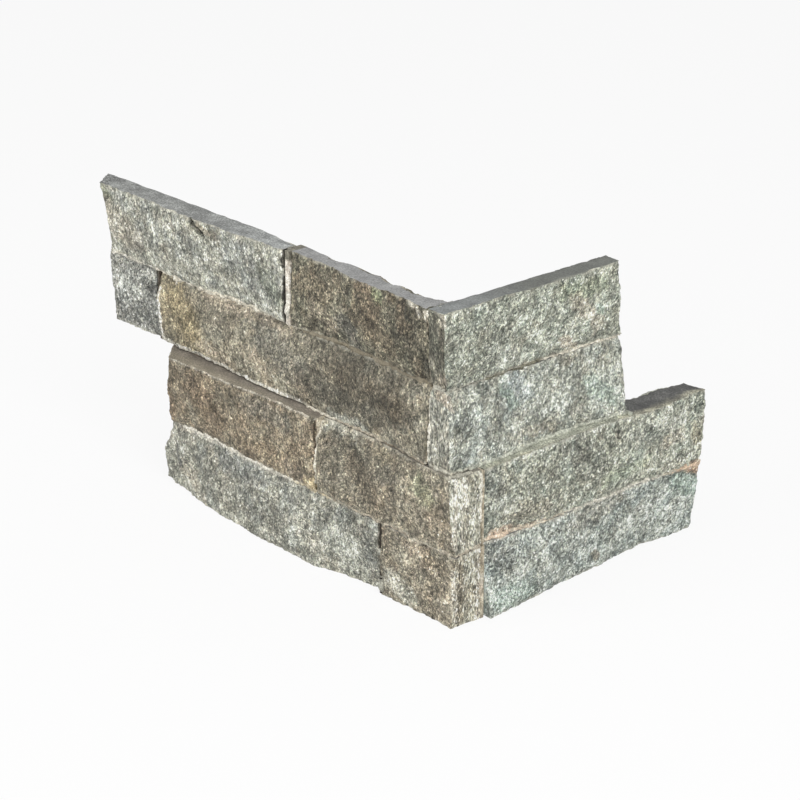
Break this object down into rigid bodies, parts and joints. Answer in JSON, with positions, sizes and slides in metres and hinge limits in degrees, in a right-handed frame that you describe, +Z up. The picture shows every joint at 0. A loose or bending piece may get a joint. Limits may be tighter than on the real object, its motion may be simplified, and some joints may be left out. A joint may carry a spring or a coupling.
{
  "type": "stone cladding corner piece",
  "caption": "Ledgestone cladding corner: riven stone strips in staggered courses, glued into an L that wraps a wall's outside corner.",
  "frame": {"origin": "where the outside corner of the wall meets the foot of the piece", "axes": "+Z up, the long leg along -X with its backs facing +Y, the return along +Y with its backs facing -X"},
  "size_m": [0.2941, 0.1767, 0.152],
  "materials": {
    "silver_green_stone": "riven",
    "grey_green_stone": "riven",
    "blue_grey_stone": "riven",
    "brown_stone": "riven",
    "adhesive": "matt, cured"
  },
  "bodies": {
    "root": {"course_1_outer_stone": "grey_green_stone", "course_1_inner_stone": "brown_stone", "course_1_return_stone": "blue_grey_stone", "course_2_outer_stone": "brown_stone", "course_2_inner_stone": "brown_stone", "course_2_return_stone": "grey_green_stone", "course_3_outer_stone": "blue_grey_stone", "course_3_inner_stone": "brown_stone", "course_3_return_stone": "silver_green_stone", "course_4_outer_stone": "silver_green_stone", "course_4_inner_stone": "brown_stone", "course_4_return_stone": "silver_green_stone", "course_1_long_bed": "adhesive", "course_2_long_bed": "adhesive", "course_3_long_bed": "adhesive", "course_1_return_bed": "adhesive", "course_2_return_bed": "adhesive", "course_3_return_bed": "adhesive", "course_1_butt_joint": "adhesive", "course_2_butt_joint": "adhesive", "course_3_butt_joint": "adhesive", "course_4_butt_joint": "adhesive", "course_1_corner_joint": "adhesive", "course_2_corner_joint": "adhesive", "course_3_corner_joint": "adhesive", "course_4_corner_joint": "adhesive"}
  },
  "joints": []
}
